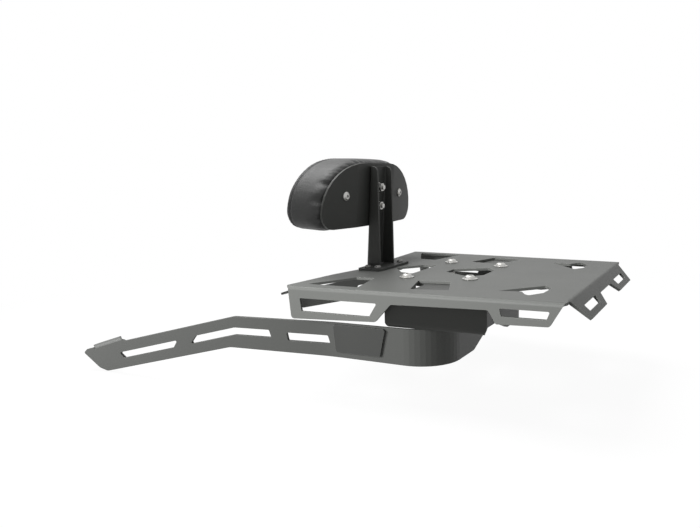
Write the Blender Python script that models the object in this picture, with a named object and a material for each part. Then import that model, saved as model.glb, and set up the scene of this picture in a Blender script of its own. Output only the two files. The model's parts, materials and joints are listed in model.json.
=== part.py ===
# Rear luggage rack for a scooter, with a small padded passenger backrest.
# Frame: X to the right of the vehicle, Y forward, Z up, in metres. The origin is on the top face of
# the rack plate, midway between the two front plate bolts.
# Folded sheet parts start as a flat blank with its cut-outs and are then bent along their fold lines.

import math

import bmesh
import bpy
from mathutils import Matrix, Vector

# Gap left between pieces that touch
SEAT = 0.0003

# Rack plate, folded from one sheet
PLATE_SHEET = 0.003
PLATE_BEND = 0.004
PLATE_FRONT_HALF = 0.168
PLATE_REAR_HALF = 0.1425
PLATE_FRONT_Y = 0.106
PLATE_REAR_Y = -0.202
PLATE_CORNER_Y = -0.2045
LIP_RELIEF = 0.0013
PLATE_NOSE_Y = 0.090
NOSE_HALF = 0.030
SHOULDER_HALF = 0.080
SHOULDER_Y = 0.099

# Side flanges of the plate: a deep front tab, a shallow bridge and a rear tab
FLANGE_FRONT_Y = 0.1015
FLANGE_FRONT_SLANT = 0.0035
FRONT_TAB_DEPTH = 0.038
FRONT_TAB_RISE = 0.0042
FRONT_TAB_REAR_Y = -0.0095
BRIDGE_DEPTH = 0.0134
BRIDGE_RISE = 0.0018
BRIDGE_FRONT_Y = -0.028
BRIDGE_REAR_Y = -0.132
REAR_TAB_DEPTH = 0.0252
REAR_TAB_RISE = 0.0013
REAR_TAB_FRONT_Y = -0.1393
REAR_TAB_END_Y = -0.1898
TAB_CORNER = 0.004
FRONT_WINDOW_TOP = 0.0133
FRONT_WINDOW_BOTTOM = 0.0285
FRONT_WINDOW_FRONT_Y = 0.0855
FRONT_WINDOW_REAR_Y = -0.0117
FRONT_WINDOW_FRONT_SLANT = 0.0019
FRONT_WINDOW_REAR_SLANT = 0.0094
REAR_WINDOW_TOP = 0.0092
REAR_WINDOW_BOTTOM = 0.0171
REAR_WINDOW_FRONT_Y = -0.1426
REAR_WINDOW_REAR_Y = -0.1899
REAR_WINDOW_FRONT_SLANT = 0.0019
REAR_WINDOW_REAR_SLANT = 0.003
WINDOW_CORNER = 0.0012

# Rear flange of the plate: two strap hooks on a lip bent down at 45 degrees
HOOK_ANGLE = math.radians(45)
HOOK_ROOT_STEP = 0.009
HOOK_ROOT_HALF = PLATE_REAR_HALF - HOOK_ROOT_STEP
HOOK_TIP_OUTER = 0.117
HOOK_TIP_INNER = 0.043
HOOK_NOTCH_HALF = 0.030
HOOK_NOTCH_REACH = 0.015
HOOK_REACH = 0.028
HOOK_SLOT_INNER = 0.0535
HOOK_SLOT_OUTER = 0.1065
HOOK_SLOT_NEAR = 0.0136
HOOK_SLOT_FAR = 0.0213
HOOK_CORNER = 0.0025

# Weight-saving cut-outs in the plate, mirrored left and right
CUT_CORNER = 0.002
FRONT_CUT_OUTER = 0.151
FRONT_CUT_INNER = 0.087
FRONT_CUT_FRONT_Y = 0.087
FRONT_CUT_REAR_Y = 0.020
FRONT_CUT_INNER_FRONT_Y = 0.058
FRONT_CUT_INNER_REAR_Y = 0.034
MID_CUT_OUTER_FRONT = 0.135
MID_CUT_OUTER_REAR = 0.126
MID_CUT_INNER_FRONT = 0.084
MID_CUT_INNER_REAR = 0.077
MID_CUT_FRONT_Y = -0.0235
MID_CUT_OUTER_FRONT_Y = -0.039
MID_CUT_INNER_REAR_Y = -0.061
MID_CUT_REAR_Y = -0.080
REAR_CUT_TIP = 0.1095
REAR_CUT_WAIST = 0.1045
REAR_CUT_OUTER = 0.1215
REAR_CUT_INNER = 0.063
REAR_CUT_FRONT_Y = -0.127
REAR_CUT_WAIST_Y = -0.151
REAR_CUT_SHOULDER_Y = -0.157
REAR_CUT_OUTER_Y = -0.1625
REAR_CUT_INNER_Y = -0.165
REAR_CUT_REAR_Y = -0.1735
ARROW_TIP_Y = 0.051
ARROW_SIDE_HALF = 0.033
ARROW_SIDE_Y = 0.026
ARROW_BASE_HALF = 0.0385
ARROW_BASE_Y = 0.0075
SHIELD_FRONT_HALF = 0.011
SHIELD_FRONT_Y = -0.027
SHIELD_SIDE_HALF = 0.036
SHIELD_SIDE_Y = -0.0655
SHIELD_REAR_HALF = 0.020
SHIELD_REAR_Y = -0.079

# Plate bolts (M8 flanged button heads) and their nuts
FRONT_BOLT_X = 0.068
REAR_BOLT_X = 0.054
REAR_BOLT_Y = -0.075
PLATE_HOLE = 0.0045
PLATE_BOLT_SHANK = 0.004
PLATE_BOLT_FLANGE = 0.0089
PLATE_BOLT_FLANGE_T = 0.0013
PLATE_BOLT_CROWN = 0.0066
PLATE_BOLT_HEAD = 0.0045
PLATE_BOLT_SOCKET = 0.0025
PLATE_BOLT_SOCKET_DEPTH = 0.0026
PLATE_NUT_FLATS = 0.0065
PLATE_NUT_FLANGE = 0.0088
PLATE_NUT_HEIGHT = 0.008
BOLT_PAST_NUT = 0.003

# Risers: channels that carry the plate on the arms
RISER_SHEET = 0.003
RISER_BEND = 0.005
RISER_FRONT_Y = -0.0166
RISER_REAR_Y = -0.1286
RISER_SIDE_GAP = 0.0058
RISER_TOP_FRONT_Y = -0.034
RISER_EAR = 0.013
RISER_FOOT_WIDTH = 0.022
RISER_FOOT_CHAMFER = 0.018
RISER_FOOT_FLARE = 0.010
RISER_CORNER_CUT = 0.0036

# Arms: flat strips that run forward along the seat and are rolled round the tail at the back
ARM_SHEET = 0.004
ARM_HEIGHT = 0.041
ARM_ELBOW_HEIGHT = 0.039
ARM_TOP_Z = -0.041
ARM_REAR_Y = -0.082
ARM_ROLL = 0.048
ARM_CREASE_Y = 0.0508
ARM_CREASE_BEND = 0.367
ARM_SPLAY = math.radians(11)
ARM_LEVEL = 0.1293
ARM_UNDER_LEVEL = 0.137
ARM_DROP = math.radians(13.76)
ARM_ELBOW = 0.012
ARM_ARCH_TOP = 0.025
ARM_ARCH_HALF = 0.060
ARM_ARCH_CROWN_HALF = 0.015
ARM_ARCH_CORNER = 0.008

# Rounded nose of each arm, as distances ahead of the crease and heights below the arm's top
ARM_BROW = 0.3696
ARM_BROW_BELOW = 0.0589
ARM_NOSE = 0.3756
ARM_NOSE_BELOW = 0.0643
ARM_TOE = 0.3495
ARM_TOE_BELOW = 0.0833
ARM_HEEL = 0.336
ARM_HEEL_BELOW = 0.087

# Mounting tab folded inwards off each arm's top edge and swept forward
TAB_ROOT = 0.3066
TAB_ROOT_RISE = 0.0018
TAB_LENGTH = 0.0497
TAB_SLOPE = math.radians(17.5)
TAB_WIDTH = 0.030
TAB_SWEEP = 0.029
TAB_BEND = 0.005
TAB_RELIEF = 0.0025
TAB_ROUND = 0.007
TAB_HOLE = 0.0045

# Long windows in each arm, as distances ahead of the crease and heights below the top edge line
REAR_SLOT_REAR = 0.0015
REAR_SLOT_FRONT = 0.056
REAR_SLOT_TOP = 0.0155
REAR_SLOT_BOTTOM = 0.025
REAR_SLOT_REAR_LEAN = 0.0028
REAR_SLOT_FRONT_LEAN = 0.002
MID_SLOT_REAR = 0.0783
MID_SLOT_FRONT = 0.1963
MID_SLOT_TOP = 0.0138
MID_SLOT_BOTTOM = 0.0229
MID_SLOT_REAR_LEAN = 0.003
MID_SLOT_FRONT_LEAN = -0.009
FRONT_SLOT_REAR = 0.2227
FRONT_SLOT_FRONT = 0.3047
FRONT_SLOT_TOP = 0.0146
FRONT_SLOT_BOTTOM = 0.0231
FRONT_SLOT_REAR_LEAN = -0.0069
FRONT_SLOT_FRONT_LEAN = 0.0083
SLOT_CORNER = 0.0015

# Bare raised plates on the arms, as distances ahead of the crease
BADGE_SHEET = 0.002
BADGE_TOP = 0.0018
BADGE_HEIGHT = 0.0315
BADGE_REAR = -0.0685
BADGE_FRONT = -0.0033
BADGE_SLANT_REAR = 0.007
BADGE_SLANT_FRONT = 0.003
BADGE_CORNER = 0.0025

# Backrest post: a channel that opens to the rear, on a bolted foot
FOOT_HALF = 0.042
FOOT_FRONT_Y = 0.0865
FOOT_REAR_Y = 0.0525
FOOT_SHEET = 0.003
FOOT_CORNER = 0.004
FOOT_BOLT_X = 0.0305
FOOT_BOLT_FRONT_Y = 0.077
FOOT_BOLT_REAR_Y = 0.062
POST_HALF = 0.020
POST_SHEET = 0.003
POST_BEND = 0.005
POST_REAR_Y = 0.065
POST_FOOT_FRONT_Y = 0.0865
POST_TOP_FRONT_Y = 0.0765
POST_TOP_Z = 0.136
POST_TOP_ROUND = 0.008

# Back plate and pad
BACK_SHEET = 0.003
BACK_HALF = 0.114
BACK_BOTTOM_Z = 0.0575
BACK_TOP_Z = 0.1400
BACK_WIDEST_Z = 0.078
BACK_TOP_FLAT = 0.030
BACK_BOTTOM_FLAT = 0.092
BACK_WING_X = 0.046
BACK_WING = math.radians(7)
BACK_BEND = 0.020
PAD_OVERHANG = 0.002
PAD_TOP_RISE = 0.005
PAD_BOTTOM_DROP = 0.003
PAD_DEPTH = 0.054
PAD_CROWN = 0.009
PAD_EDGE = 0.006

# Backrest fasteners
BRACKET_BOLT_LOW_Z = 0.084
BRACKET_BOLT_HIGH_Z = 0.1085
BRACKET_SHANK = 0.003
BRACKET_HOLE = 0.0033
BRACKET_HEAD = 0.0065
BRACKET_HEAD_T = 0.003
BRACKET_WASHER = 0.006
BRACKET_WASHER_T = 0.0012
BRACKET_NUT_FLATS = 0.005
BRACKET_NUT_HEIGHT = 0.005
PAD_SCREW_X = 0.070
PAD_SCREW_Z = 0.0985
PAD_SCREW_HEAD = 0.0058
PAD_SCREW_HEAD_T = 0.003
PAD_SCREW_REACH = 0.012
FOOT_SHANK = 0.0025
FOOT_HOLE = 0.0028
FOOT_BOLT_HEAD = 0.0045
FOOT_BOLT_HEAD_T = 0.0028
FOOT_NUT_FLATS = 0.004
FOOT_NUT_HEIGHT = 0.004

ROUND_STEPS = 20
ARC_STEP = math.radians(24)

# Taper of the plate's sides, which the risers and the arms' straight parts follow
TAPER = math.atan2(PLATE_FRONT_HALF - PLATE_REAR_HALF, PLATE_FRONT_Y - PLATE_REAR_Y)


def clear_scene():
    for old in list(bpy.data.objects):
        bpy.data.objects.remove(old, do_unlink=True)


def finish_material(name, colour, roughness, metallic):
    mat = bpy.data.materials.new(name)
    mat.use_nodes = True
    shader = mat.node_tree.nodes["Principled BSDF"]
    shader.inputs["Base Color"].default_value = (*colour, 1.0)
    shader.inputs["Roughness"].default_value = roughness
    shader.inputs["Metallic"].default_value = metallic
    return mat


def powder_coat(name):
    return finish_material(name + "_coat", (0.045, 0.047, 0.045), 0.48, 0.25)


def zinc(name):
    return finish_material(name + "_zinc", (0.62, 0.62, 0.60), 0.32, 0.95)


def vinyl(name):
    return finish_material(name + "_vinyl", (0.03, 0.03, 0.032), 0.55, 0.0)


def to_object(bm, name, material, matrix=None, mirror=False):
    if matrix is not None:
        bmesh.ops.transform(bm, matrix=matrix, verts=bm.verts)
    if mirror:
        bmesh.ops.transform(bm, matrix=Matrix.Scale(-1, 4, (1, 0, 0)), verts=bm.verts)
    bmesh.ops.recalc_face_normals(bm, faces=bm.faces)
    if bm.calc_volume(signed=True) < 0:
        bmesh.ops.reverse_faces(bm, faces=bm.faces)
    mesh = bpy.data.meshes.new(name)
    bm.to_mesh(mesh)
    bm.free()
    mesh.materials.append(material)
    mesh.shade_smooth()
    mesh.set_sharp_from_angle(angle=math.radians(32))
    obj = bpy.data.objects.new(name, mesh)
    bpy.context.scene.collection.objects.link(obj)
    return obj


def rounded(corners):
    """Points of an outline whose corners (x, y, radius) are rounded off with arcs."""
    points = []
    count = len(corners)
    for i, (x, y, radius) in enumerate(corners):
        here = Vector((x, y))
        back = Vector(corners[i - 1][:2]) - here
        ahead = Vector(corners[(i + 1) % count][:2]) - here
        if radius <= 0:
            points.append(here)
            continue
        half = back.angle(ahead) / 2
        reach = min(radius / math.tan(half), back.length * 0.45, ahead.length * 0.45)
        size = reach * math.tan(half)
        bisector = (back.normalized() + ahead.normalized()).normalized()
        centre = here + bisector * (size / math.sin(half))
        first = here + back.normalized() * reach - centre
        last = here + ahead.normalized() * reach - centre
        sweep = first.angle_signed(last)
        steps = max(2, math.ceil(abs(sweep) / ARC_STEP))
        for k in range(steps + 1):
            turn = Matrix.Rotation(-sweep * k / steps, 2)
            points.append(centre + turn @ first)
    return points


def circle(x, y, radius):
    turns = [math.tau * k / ROUND_STEPS for k in range(ROUND_STEPS)]
    return [Vector((x + radius * math.cos(a), y + radius * math.sin(a))) for a in turns]


def mirrored(corners):
    return [(-x, y, r) for x, y, r in reversed(corners)]


def blank(outline, holes):
    """Flat sheet face in the XY plane, with its holes left open."""
    bm = bmesh.new()
    for loop in [outline] + holes:
        verts = [bm.verts.new((p[0], p[1], 0.0)) for p in loop]
        for a, b in zip(verts, verts[1:] + verts[:1]):
            bm.edges.new((a, b))
    bmesh.ops.triangle_fill(bm, use_beauty=True, edges=bm.edges[:], normal=(0, 0, 1))
    return bm


def score(bm, origin, outward, distances):
    """Edges across the blank, square to outward, at each distance from origin."""
    for distance in distances:
        geom = bm.verts[:] + bm.edges[:] + bm.faces[:]
        bmesh.ops.bisect_plane(bm, geom=geom, dist=1e-6, plane_co=origin + outward * distance, plane_no=outward)


def thicken(bm, thickness):
    """The drawn face is the outer one; the metal lies below it."""
    grown = bmesh.ops.extrude_face_region(bm, geom=bm.faces[:])["geom"]
    verts = [item for item in grown if isinstance(item, bmesh.types.BMVert)]
    bmesh.ops.translate(bm, verts=verts, vec=(0, 0, -thickness))


def bend_steps(angle):
    return max(2, math.ceil(abs(angle) / ARC_STEP))


def bend_marks(radius, angle):
    steps = bend_steps(angle)
    return [radius * angle * k / steps for k in range(steps + 1)]


def fold(bm, origin, outward, radius, angle, picked=None):
    """Bend what lies past origin downwards, round the outer radius, through angle."""
    arc = radius * angle
    for vert in bm.verts:
        if picked and not picked(vert.co):
            continue
        distance = (vert.co - origin).dot(outward)
        if distance <= 1e-7:
            continue
        turn = angle * min(distance / arc, 1.0)
        past = max(distance - arc, 0.0)
        height = radius + vert.co.z
        along = height * math.sin(turn) + past * math.cos(turn)
        drop = height * math.cos(turn) - radius - past * math.sin(turn)
        flat = vert.co - outward * distance
        vert.co = Vector((flat.x, flat.y, 0.0)) + outward * along + Vector((0, 0, drop))


def flat_reach(depth, radius):
    """Distance on the blank, past the start of a square bend, of a point at this depth."""
    return depth + radius * (math.pi / 2 - 1)


def side_half(y):
    share = (y - PLATE_REAR_Y) / (PLATE_FRONT_Y - PLATE_REAR_Y)
    return PLATE_REAR_HALF + (PLATE_FRONT_HALF - PLATE_REAR_HALF) * share


def on_flange(y, depth, corner=0.0):
    reach = flat_reach(depth, PLATE_BEND)
    return (side_half(y) + reach * math.cos(TAPER), y - reach * math.sin(TAPER), corner)


def plate_outline():
    lip = PLATE_REAR_Y
    relief = HOOK_ROOT_HALF + LIP_RELIEF
    half = [
        (NOSE_HALF, PLATE_NOSE_Y, 0.012),
        (SHOULDER_HALF, SHOULDER_Y, 0.020),
        (PLATE_FRONT_HALF - 0.0005, PLATE_FRONT_Y, 0.002),
        (side_half(FLANGE_FRONT_Y) - 0.0005, FLANGE_FRONT_Y, 0.0),
        on_flange(FLANGE_FRONT_Y - FLANGE_FRONT_SLANT, FRONT_TAB_DEPTH, TAB_CORNER),
        on_flange(FRONT_TAB_REAR_Y, FRONT_TAB_DEPTH - FRONT_TAB_RISE, TAB_CORNER),
        on_flange(BRIDGE_FRONT_Y, BRIDGE_DEPTH, TAB_CORNER),
        on_flange(BRIDGE_REAR_Y, BRIDGE_DEPTH - BRIDGE_RISE, TAB_CORNER),
        on_flange(REAR_TAB_FRONT_Y, REAR_TAB_DEPTH, 0.002),
        on_flange(REAR_TAB_END_Y, REAR_TAB_DEPTH - REAR_TAB_RISE, TAB_CORNER),
        (side_half(PLATE_CORNER_Y), PLATE_CORNER_Y, 0.0),
        (relief, PLATE_CORNER_Y, 0.0),
        (relief, lip + LIP_RELIEF, 0.0),
        (HOOK_ROOT_HALF, lip + LIP_RELIEF, 0.0),
        (HOOK_ROOT_HALF, lip, 0.0),
        (HOOK_TIP_OUTER, lip - HOOK_REACH, HOOK_CORNER),
        (HOOK_TIP_INNER, lip - HOOK_REACH, HOOK_CORNER),
        (HOOK_NOTCH_HALF, lip - HOOK_NOTCH_REACH, HOOK_CORNER),
    ]
    return rounded(half + mirrored(half))


def pair(corners):
    return [rounded(corners), rounded(mirrored(corners))]


def plate_holes():
    holes = []
    holes += pair([
        (FRONT_CUT_OUTER, FRONT_CUT_FRONT_Y, CUT_CORNER),
        (FRONT_CUT_OUTER - 0.003, FRONT_CUT_REAR_Y, CUT_CORNER),
        (FRONT_CUT_INNER, FRONT_CUT_INNER_REAR_Y, CUT_CORNER),
        (FRONT_CUT_INNER + 0.002, FRONT_CUT_INNER_FRONT_Y, CUT_CORNER),
    ])
    holes += pair([
        (MID_CUT_OUTER_FRONT, MID_CUT_OUTER_FRONT_Y, CUT_CORNER),
        (MID_CUT_OUTER_REAR, MID_CUT_REAR_Y, CUT_CORNER),
        (MID_CUT_INNER_REAR, MID_CUT_INNER_REAR_Y, CUT_CORNER),
        (MID_CUT_INNER_FRONT, MID_CUT_FRONT_Y, CUT_CORNER),
    ])
    holes += pair([
        (REAR_CUT_TIP, REAR_CUT_FRONT_Y, CUT_CORNER / 2),
        (REAR_CUT_WAIST, REAR_CUT_WAIST_Y, CUT_CORNER * 2),
        (REAR_CUT_OUTER - 0.005, REAR_CUT_SHOULDER_Y, CUT_CORNER),
        (REAR_CUT_OUTER, REAR_CUT_OUTER_Y, CUT_CORNER),
        (REAR_CUT_OUTER - 0.0175, REAR_CUT_REAR_Y + 0.001, CUT_CORNER * 2),
        (REAR_CUT_INNER + 0.014, REAR_CUT_REAR_Y, CUT_CORNER * 4),
        (REAR_CUT_INNER, REAR_CUT_INNER_Y, CUT_CORNER),
    ])
    arrow = [
        (ARROW_SIDE_HALF, ARROW_SIDE_Y, CUT_CORNER * 2),
        (ARROW_BASE_HALF, ARROW_BASE_Y, CUT_CORNER),
    ]
    holes.append(rounded([(0.0, ARROW_TIP_Y, CUT_CORNER)] + arrow + mirrored(arrow)))
    shield = [
        (SHIELD_FRONT_HALF, SHIELD_FRONT_Y, CUT_CORNER),
        (SHIELD_SIDE_HALF, SHIELD_SIDE_Y, CUT_CORNER),
        (SHIELD_REAR_HALF, SHIELD_REAR_Y, CUT_CORNER),
    ]
    holes.append(rounded(shield + mirrored(shield)))
    holes += pair([
        on_flange(FRONT_WINDOW_FRONT_Y, FRONT_WINDOW_TOP, WINDOW_CORNER),
        on_flange(FRONT_WINDOW_REAR_Y, FRONT_WINDOW_TOP, WINDOW_CORNER),
        on_flange(FRONT_WINDOW_REAR_Y + FRONT_WINDOW_REAR_SLANT, FRONT_WINDOW_BOTTOM, WINDOW_CORNER),
        on_flange(FRONT_WINDOW_FRONT_Y - FRONT_WINDOW_FRONT_SLANT, FRONT_WINDOW_BOTTOM, WINDOW_CORNER),
    ])
    holes += pair([
        on_flange(REAR_WINDOW_FRONT_Y, REAR_WINDOW_TOP, WINDOW_CORNER),
        on_flange(REAR_WINDOW_REAR_Y, REAR_WINDOW_TOP, WINDOW_CORNER),
        on_flange(REAR_WINDOW_REAR_Y + REAR_WINDOW_REAR_SLANT, REAR_WINDOW_BOTTOM, WINDOW_CORNER),
        on_flange(REAR_WINDOW_FRONT_Y - REAR_WINDOW_FRONT_SLANT, REAR_WINDOW_BOTTOM, WINDOW_CORNER),
    ])
    holes += pair([
        (HOOK_SLOT_OUTER, PLATE_REAR_Y - HOOK_SLOT_NEAR, WINDOW_CORNER),
        (HOOK_SLOT_OUTER - 0.0015, PLATE_REAR_Y - HOOK_SLOT_FAR, WINDOW_CORNER),
        (HOOK_SLOT_INNER + 0.0015, PLATE_REAR_Y - HOOK_SLOT_FAR, WINDOW_CORNER),
        (HOOK_SLOT_INNER, PLATE_REAR_Y - HOOK_SLOT_NEAR, WINDOW_CORNER),
    ])
    holes += [circle(x, y, PLATE_HOLE) for x, y in plate_bolt_places()]
    holes += [circle(x, y, FOOT_HOLE) for x, y in foot_bolt_places()]
    return holes


def plate_bolt_places():
    return [(-FRONT_BOLT_X, 0.0), (FRONT_BOLT_X, 0.0), (-REAR_BOLT_X, REAR_BOLT_Y), (REAR_BOLT_X, REAR_BOLT_Y)]


def foot_bolt_places():
    return [(side * FOOT_BOLT_X, y) for y in (FOOT_BOLT_FRONT_Y, FOOT_BOLT_REAR_Y) for side in (-1, 1)]


def make_rack_plate():
    bm = blank(plate_outline(), plate_holes())
    folds = []
    for side in (-1, 1):
        corner = Vector((side * side_half(0.0), 0.0, 0.0))
        outward = Vector((side * math.cos(TAPER), -math.sin(TAPER), 0.0))
        folds.append((corner, outward, math.pi / 2))
    folds.append((Vector((0.0, PLATE_REAR_Y, 0.0)), Vector((0.0, -1.0, 0.0)), HOOK_ANGLE))
    for origin, outward, angle in folds:
        score(bm, origin, outward, bend_marks(PLATE_BEND, angle))
    thicken(bm, PLATE_SHEET)
    for origin, outward, angle in folds:
        lip = angle == HOOK_ANGLE
        picked = (lambda co: abs(co.x) < HOOK_ROOT_HALF + LIP_RELIEF / 2) if lip else None
        fold(bm, origin, outward, PLATE_BEND, angle, picked)
    return to_object(bm, "rack_plate", powder_coat("rack_plate"))


def riser_height():
    return -ARM_TOP_Z - PLATE_SHEET - 2 * SEAT


def riser_spot(x, y, corner=0.0):
    """Where a point of the right riser's top flange lies on the blank."""
    inward = Matrix.Rotation(TAPER, 2) @ Vector((x - riser_wall_half(0.0), y))
    return (RISER_BEND * (math.pi / 2 - 1) - inward.x, inward.y, corner)


def riser_outline():
    """Blank of the right riser: X runs from the foot up the wall and inwards, Y forward."""
    wall = riser_height() - 2 * RISER_BEND
    arc = RISER_BEND * math.pi / 2
    foot = -(wall + arc + RISER_FOOT_WIDTH - RISER_BEND)
    ear = RISER_EAR
    front = FRONT_BOLT_X
    rear = REAR_BOLT_X
    return [
        (foot, RISER_REAR_Y + RISER_FOOT_CHAMFER, 0.003),
        (-wall - arc, RISER_REAR_Y + RISER_CORNER_CUT, 0.001),
        (RISER_CORNER_CUT - wall, RISER_REAR_Y, 0.001),
        (arc, RISER_REAR_Y, 0.001),
        riser_spot(rear + ear, RISER_REAR_Y, 0.006),
        riser_spot(rear - ear, REAR_BOLT_Y - ear * 0.6, ear * 0.6),
        riser_spot(rear - ear, REAR_BOLT_Y + ear * 1.2, ear * 0.9),
        riser_spot(front - ear, -ear, ear * 0.6),
        riser_spot(front - ear, ear, ear * 0.8),
        riser_spot(front + ear, ear, ear * 0.8),
        riser_spot(front + ear * 1.3, RISER_TOP_FRONT_Y, 0.008),
        (arc, RISER_TOP_FRONT_Y, 0.002),
        (0.0, RISER_FRONT_Y, 0.002),
        (-wall, RISER_FRONT_Y, 0.002),
        (-wall - arc, RISER_FRONT_Y - 0.004, 0.001),
        (foot, RISER_FRONT_Y - RISER_FOOT_FLARE, 0.003),
    ]


def riser_wall_half(y):
    """Outer face of the riser's wall, inside the plate's side flange."""
    flange = side_half(y) + PLATE_BEND / math.cos(TAPER)
    return flange - PLATE_SHEET - RISER_SIDE_GAP


def make_riser(side_name, mirror):
    spots = [riser_spot(FRONT_BOLT_X, 0.0), riser_spot(REAR_BOLT_X, REAR_BOLT_Y)]
    bm = blank(rounded(riser_outline()), [circle(x, y, PLATE_HOLE) for x, y, _ in spots])
    wall = riser_height() - 2 * RISER_BEND
    inward = Vector((1.0, 0.0, 0.0))
    outward = Vector((-1.0, 0.0, 0.0))
    marks = bend_marks(RISER_BEND, math.pi / 2)
    top_line = Vector((0.0, 0.0, 0.0))
    foot_line = Vector((-wall, 0.0, 0.0))
    score(bm, top_line, inward, marks)
    score(bm, foot_line, outward, marks)
    thicken(bm, RISER_SHEET)
    fold(bm, top_line, inward, RISER_BEND, math.pi / 2)
    fold(bm, foot_line, outward, RISER_BEND, math.pi / 2)
    # Stand the wall up: blank X becomes height, blank Z becomes the outward side
    stand = Matrix(((0, 0, 1, 0), (0, 1, 0, 0), (1, 0, 0, 0), (0, 0, 0, 1)))
    lift = Matrix.Translation((riser_wall_half(0.0), 0.0, -PLATE_SHEET - SEAT - RISER_BEND))
    bmesh.ops.transform(bm, matrix=lift @ Matrix.Rotation(-TAPER, 4, "Z") @ stand, verts=bm.verts)
    return to_object(bm, side_name + "_riser", powder_coat(side_name + "_riser"), mirror=mirror)


def arm_route():
    """Plan of an arm's outer face from the centreline round the tail and forward: (length, turn, radius)."""
    wall = riser_wall_half(0.0)
    heading = math.pi / 2 - TAPER
    start_x = SEAT / 2 + 0.0001
    # Centre of the rolled corner, a roll radius inside the straight part and the rear face
    centre_y = ARM_REAR_Y + ARM_ROLL
    centre_x = wall + centre_y * math.tan(TAPER) - ARM_ROLL / math.cos(TAPER)
    end_y = centre_y - ARM_ROLL * math.cos(heading)
    straight = (ARM_CREASE_Y - end_y) / math.sin(heading) - crease_reach()
    return [
        (centre_x - start_x, 0.0, 0.0),
        (ARM_ROLL * heading, heading, ARM_ROLL),
        (straight, 0.0, 0.0),
        (ARM_CREASE_BEND * (ARM_SPLAY - TAPER), TAPER - ARM_SPLAY, ARM_CREASE_BEND),
        (ARM_NOSE + TAB_WIDTH + TAB_SWEEP, 0.0, 0.0),
    ], Vector((start_x, ARM_REAR_Y))


def crease_reach():
    """Length from the end of the arm's gentle bend to the crease where its two straight runs would meet."""
    return ARM_CREASE_BEND * math.tan((ARM_SPLAY - TAPER) / 2)


def along_route(route, start, u, depth):
    """Plan point at length u on the outer face, moved inwards by depth."""
    place = start.copy()
    heading = 0.0
    for length, turn, radius in route:
        part = min(u, length)
        ahead = Vector((math.cos(heading), math.sin(heading)))
        left = Vector((-ahead.y, ahead.x))
        if turn:
            swing = turn * part / length
            pivot = place + left * math.copysign(radius, turn)
            place = pivot + Matrix.Rotation(swing, 2) @ (place - pivot)
            heading += swing
        else:
            place = place + ahead * part
        u -= part
        if u <= 0:
            break
    left = Vector((-math.sin(heading), math.cos(heading)))
    return place + left * depth


def crease_length(route):
    return sum(part[0] for part in route[:4]) - crease_reach()


def arm_edge(s):
    """Height of the arm's top edge at distance s ahead of the crease."""
    if s <= ARM_LEVEL:
        return ARM_TOP_Z
    return ARM_TOP_Z - (s - ARM_LEVEL) * math.tan(ARM_DROP)


def arm_slot(u0, rear, front, top, bottom, rear_lean, front_lean):
    """A window whose long sides follow the arm's edge, with its upper corners moved forward by the leans."""
    upper_rear = rear + rear_lean
    upper_front = front + front_lean
    corners = [(u0 + upper_rear, arm_edge(upper_rear) - top, SLOT_CORNER)]
    elbow = rear < ARM_LEVEL < front
    if elbow:
        corners.append((u0 + ARM_LEVEL, ARM_TOP_Z - top, ARM_ELBOW))
    corners.append((u0 + upper_front, arm_edge(upper_front) - top, SLOT_CORNER))
    corners.append((u0 + front, arm_edge(front) - bottom, SLOT_CORNER))
    if elbow:
        corners.append((u0 + ARM_LEVEL, ARM_TOP_Z - bottom, ARM_ELBOW))
    corners.append((u0 + rear, arm_edge(rear) - bottom, SLOT_CORNER))
    return rounded(corners)


def arm_blank(u0):
    """Outline of an arm laid flat, with the start, direction, front edge and hole place of its end tab."""
    bottom = ARM_TOP_Z - ARM_HEIGHT
    slope = Vector((math.cos(TAB_SLOPE), -math.sin(TAB_SLOPE)))
    rise = Vector((math.sin(TAB_SLOPE), math.cos(TAB_SLOPE)))
    edge_end = Vector((u0 + TAB_ROOT - 2 * TAB_ROOT_RISE, arm_edge(TAB_ROOT - 2 * TAB_ROOT_RISE)))
    first = Vector((u0 + TAB_ROOT, arm_edge(TAB_ROOT) + TAB_ROOT_RISE))
    last = first + slope * TAB_LENGTH
    across = rise * flat_reach(TAB_WIDTH, TAB_BEND) + slope * TAB_SWEEP
    relief = last + slope * TAB_RELIEF
    corners = [
        (0.0, ARM_TOP_Z, 0.0),
        (u0 + ARM_LEVEL, ARM_TOP_Z, ARM_ELBOW * 2),
        (*edge_end, 0.0),
        (*first, 0.0),
        (*(first + across), TAB_ROUND),
        (*(last + across), TAB_ROUND),
        (*last, 0.0),
        (*relief, 0.0),
        (relief.x + TAB_RELIEF / 2, arm_edge(relief.x + TAB_RELIEF / 2 - u0), 0.0),
        (u0 + ARM_BROW, ARM_TOP_Z - ARM_BROW_BELOW, 0.004),
        (u0 + ARM_NOSE, ARM_TOP_Z - ARM_NOSE_BELOW, 0.002),
        (u0 + ARM_TOE, ARM_TOP_Z - ARM_TOE_BELOW, 0.010),
        (u0 + ARM_HEEL, ARM_TOP_Z - ARM_HEEL_BELOW, 0.010),
        (u0 + ARM_UNDER_LEVEL, ARM_TOP_Z - ARM_ELBOW_HEIGHT, ARM_ELBOW * 2),
        (ARM_ARCH_HALF, bottom, ARM_ARCH_CORNER),
        (ARM_ARCH_CROWN_HALF, ARM_TOP_Z - ARM_ARCH_TOP, ARM_ARCH_CORNER / 2),
        (0.0, ARM_TOP_Z - ARM_ARCH_TOP, 0.0),
    ]
    hole = (first + last + across + rise * TAB_BEND) / 2
    return corners, first, last, rise, across, hole


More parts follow.
